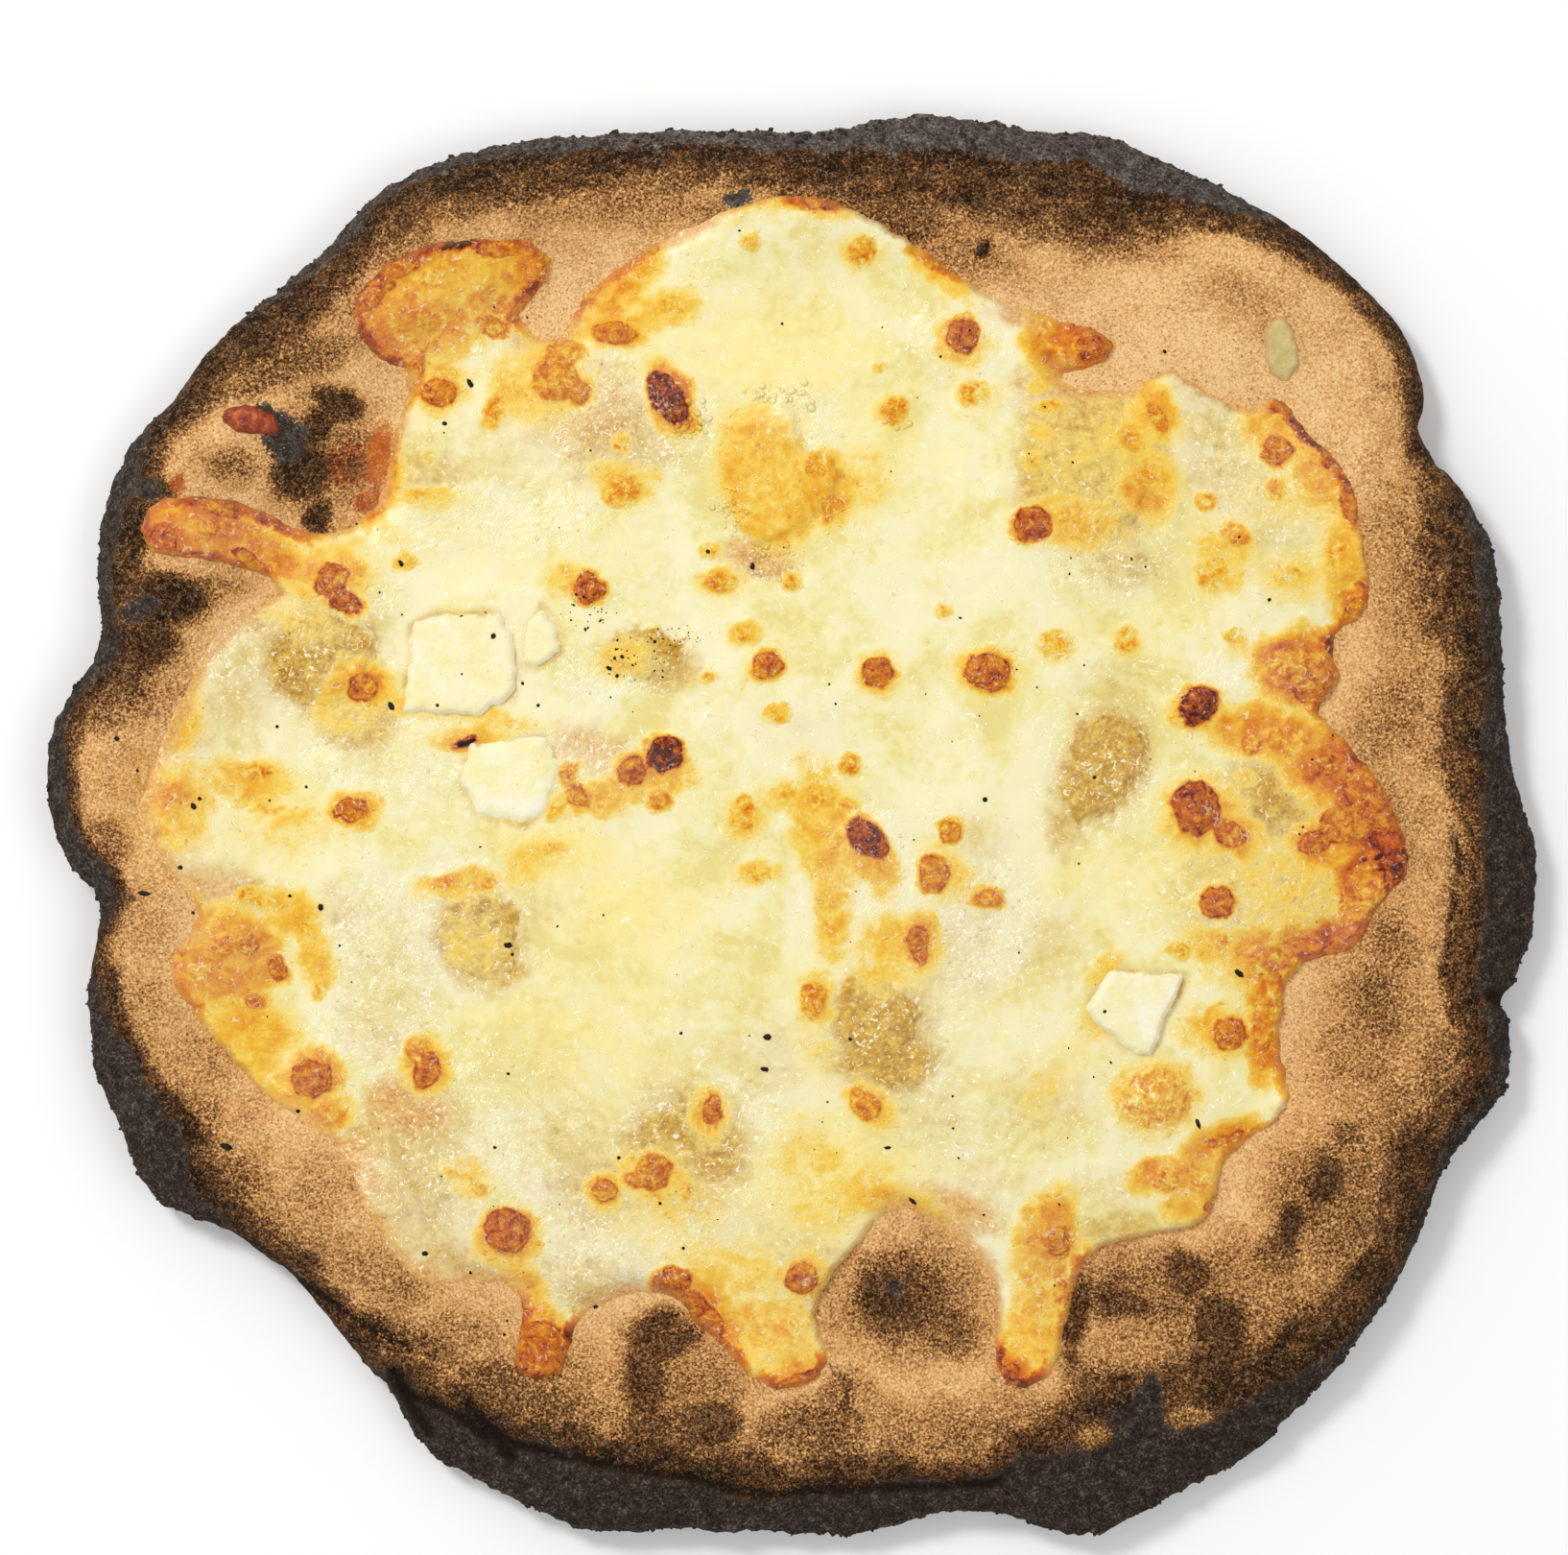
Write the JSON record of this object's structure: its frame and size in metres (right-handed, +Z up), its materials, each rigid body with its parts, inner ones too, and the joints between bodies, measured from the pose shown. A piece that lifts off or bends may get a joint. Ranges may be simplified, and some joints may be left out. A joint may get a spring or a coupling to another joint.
{
  "type": "four cheese pizza",
  "caption": "Whole round pizza with a puffed, charred rim and a sheet of melted, blistered cheese with slices and lumps of other cheeses in it.",
  "frame": {"origin": "middle of the box at the flat base that the pizza rests on", "axes": "+Z up out of the cheese, +X to the right and +Y away as seen from the front of the picture"},
  "size_m": [0.3118, 0.2976, 0.0183],
  "materials": {
    "baked_dough": "dry baked dough with browned and charred rim",
    "melted_cheese": "moist melted cheese with fried bubbles",
    "soft_cheese": "soft satin",
    "yellow_cheese": "moist",
    "blue_cheese": "moist, translucent",
    "fried_cheese": "fried, slightly glossy"
  },
  "bodies": {
    "root": {"crust": "baked_dough", "cheese": "melted_cheese", "soft_cheese_slice": "soft_cheese", "soft_cheese_sliver": "soft_cheese", "soft_cheese_corner": "soft_cheese", "fresh_cheese_slab": "soft_cheese", "yellow_cheese_piece": "yellow_cheese", "blue_cheese_lump_left": "blue_cheese", "blue_cheese_lump_middle": "blue_cheese", "blue_cheese_lump_right": "blue_cheese", "blue_cheese_lump_front": "blue_cheese", "blue_cheese_lump_back": "blue_cheese", "blue_cheese_lump_small": "blue_cheese", "pale_cheese_scrap": "soft_cheese", "fried_cheese_scrap": "fried_cheese"}
  },
  "joints": []
}
